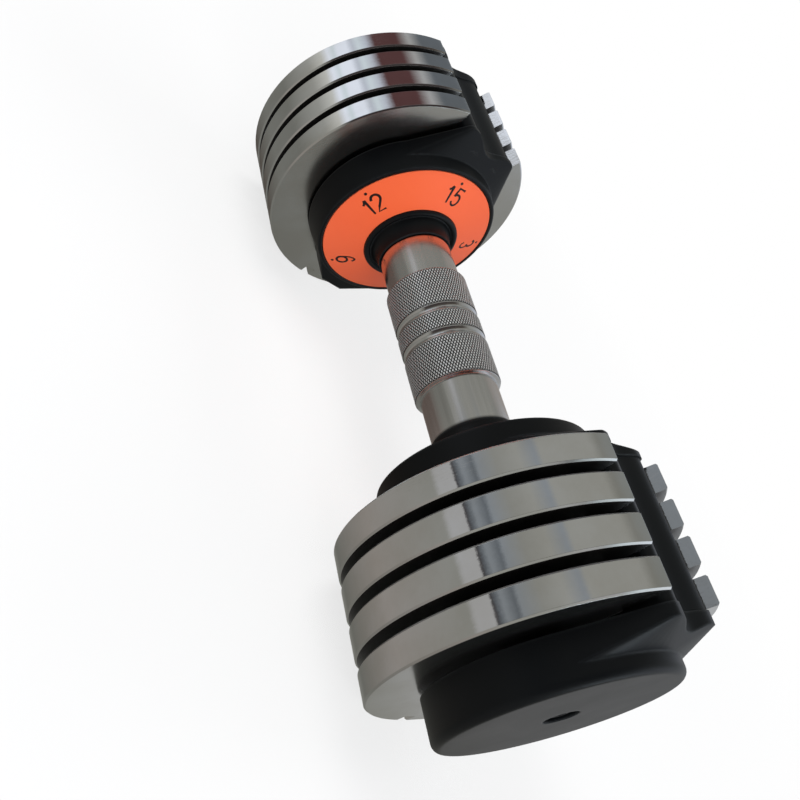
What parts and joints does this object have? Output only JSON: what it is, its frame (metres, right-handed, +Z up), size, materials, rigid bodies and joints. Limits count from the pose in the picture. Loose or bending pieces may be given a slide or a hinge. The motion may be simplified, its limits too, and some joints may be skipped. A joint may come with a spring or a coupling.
{
  "type": "adjustable dumbbell",
  "caption": "Adjustable dumbbell whose turning grip carries numbered dial rings and picks which slotted round plates the two ends hold.",
  "frame": {"origin": "middle of the dumbbell on the surface that it stands on", "axes": "+X along the grip, +Z up through the open ends of the plate slots"},
  "size_m": [0.2912, 0.12, 0.1157],
  "materials": {
    "chrome_plate": "polished faces with brushed rims",
    "chrome_grip": "polished ends and a knurled middle",
    "steel": "satin",
    "dark_steel": "blackened",
    "bronze": "satin",
    "black_plastic": "fine moulded texture, satin",
    "orange_plastic": "satin gloss with black numbers"
  },
  "bodies": {
    "handle_frame": {"axle_rod": "steel", "end_screws": "steel", "beam_bolts": "steel", "inner_housing_left": "black_plastic", "inner_housing_right": "black_plastic", "inner_plate_left": "dark_steel", "inner_plate_right": "dark_steel", "bearing_bush_left": "bronze", "bearing_bush_right": "bronze", "beam_cover_left": "black_plastic", "beam_cover_right": "black_plastic", "beam_bar_left": "dark_steel", "beam_bar_right": "dark_steel", "outer_plate_left": "dark_steel", "outer_plate_right": "dark_steel", "outer_housing_left": "black_plastic", "outer_housing_right": "black_plastic", "lock_spring_left": "steel", "lock_spring_right": "steel"},
    "turning_grip": {"grip_tube": "chrome_grip", "drive_pins": "steel", "end_spacers": "steel", "collar_left": "black_plastic", "collar_right": "black_plastic", "dial_ring_left": "orange_plastic", "dial_ring_right": "orange_plastic", "selector_sleeve_left": "steel", "selector_sleeve_right": "steel", "cam_disc_left_1": "dark_steel", "cam_disc_left_2": "dark_steel", "cam_disc_left_3": "dark_steel", "cam_disc_left_4": "dark_steel", "cam_disc_right_1": "dark_steel", "cam_disc_right_2": "dark_steel", "cam_disc_right_3": "dark_steel", "cam_disc_right_4": "dark_steel", "divider_left_1": "black_plastic", "divider_left_2": "black_plastic", "divider_left_3": "black_plastic", "divider_right_1": "black_plastic", "divider_right_2": "black_plastic", "divider_right_3": "black_plastic"},
    "weight_plate_left_1": {"plate_left_1": "chrome_plate"},
    "weight_plate_left_2": {"plate_left_2": "chrome_plate"},
    "weight_plate_left_3": {"plate_left_3": "chrome_plate"},
    "weight_plate_left_4": {"plate_left_4": "chrome_plate"},
    "weight_plate_right_1": {"plate_right_1": "chrome_plate"},
    "weight_plate_right_2": {"plate_right_2": "chrome_plate"},
    "weight_plate_right_3": {"plate_right_3": "chrome_plate"},
    "weight_plate_right_4": {"plate_right_4": "chrome_plate"},
    "safety_lock_left": {"lock_pin_left": "steel"},
    "safety_lock_right": {"lock_pin_right": "steel"}
  },
  "joints": [
    {"name": "grip_turn", "type": "hinge", "parent": "handle_frame", "child": "turning_grip", "pos_m": [0, 0, 0.05993], "axis": [-1, 0, 0], "range_deg": [0, 288]},
    {"name": "plate_left_1_drop", "type": "slide", "parent": "handle_frame", "child": "weight_plate_left_1", "axis": [0, 0, -1], "range_m": [0, 0.085]},
    {"name": "plate_left_2_drop", "type": "slide", "parent": "handle_frame", "child": "weight_plate_left_2", "axis": [0, 0, -1], "range_m": [0, 0.085]},
    {"name": "plate_left_3_drop", "type": "slide", "parent": "handle_frame", "child": "weight_plate_left_3", "axis": [0, 0, -1], "range_m": [0, 0.085]},
    {"name": "plate_left_4_drop", "type": "slide", "parent": "handle_frame", "child": "weight_plate_left_4", "axis": [0, 0, -1], "range_m": [0, 0.085]},
    {"name": "plate_right_1_drop", "type": "slide", "parent": "handle_frame", "child": "weight_plate_right_1", "axis": [0, 0, -1], "range_m": [0, 0.085]},
    {"name": "plate_right_2_drop", "type": "slide", "parent": "handle_frame", "child": "weight_plate_right_2", "axis": [0, 0, -1], "range_m": [0, 0.085]},
    {"name": "plate_right_3_drop", "type": "slide", "parent": "handle_frame", "child": "weight_plate_right_3", "axis": [0, 0, -1], "range_m": [0, 0.085]},
    {"name": "plate_right_4_drop", "type": "slide", "parent": "handle_frame", "child": "weight_plate_right_4", "axis": [0, 0, -1], "range_m": [0, 0.085]},
    {"name": "lock_left_press", "type": "slide", "parent": "handle_frame", "child": "safety_lock_left", "axis": [0, 0, 1], "range_m": [0, 0.0025], "stiffness_N_per_m": 300, "springref_m": -0.003, "deforming": ["lock_spring_left"]},
    {"name": "lock_right_press", "type": "slide", "parent": "handle_frame", "child": "safety_lock_right", "axis": [0, 0, 1], "range_m": [0, 0.0025], "stiffness_N_per_m": 300, "springref_m": -0.003, "deforming": ["lock_spring_right"]}
  ]
}
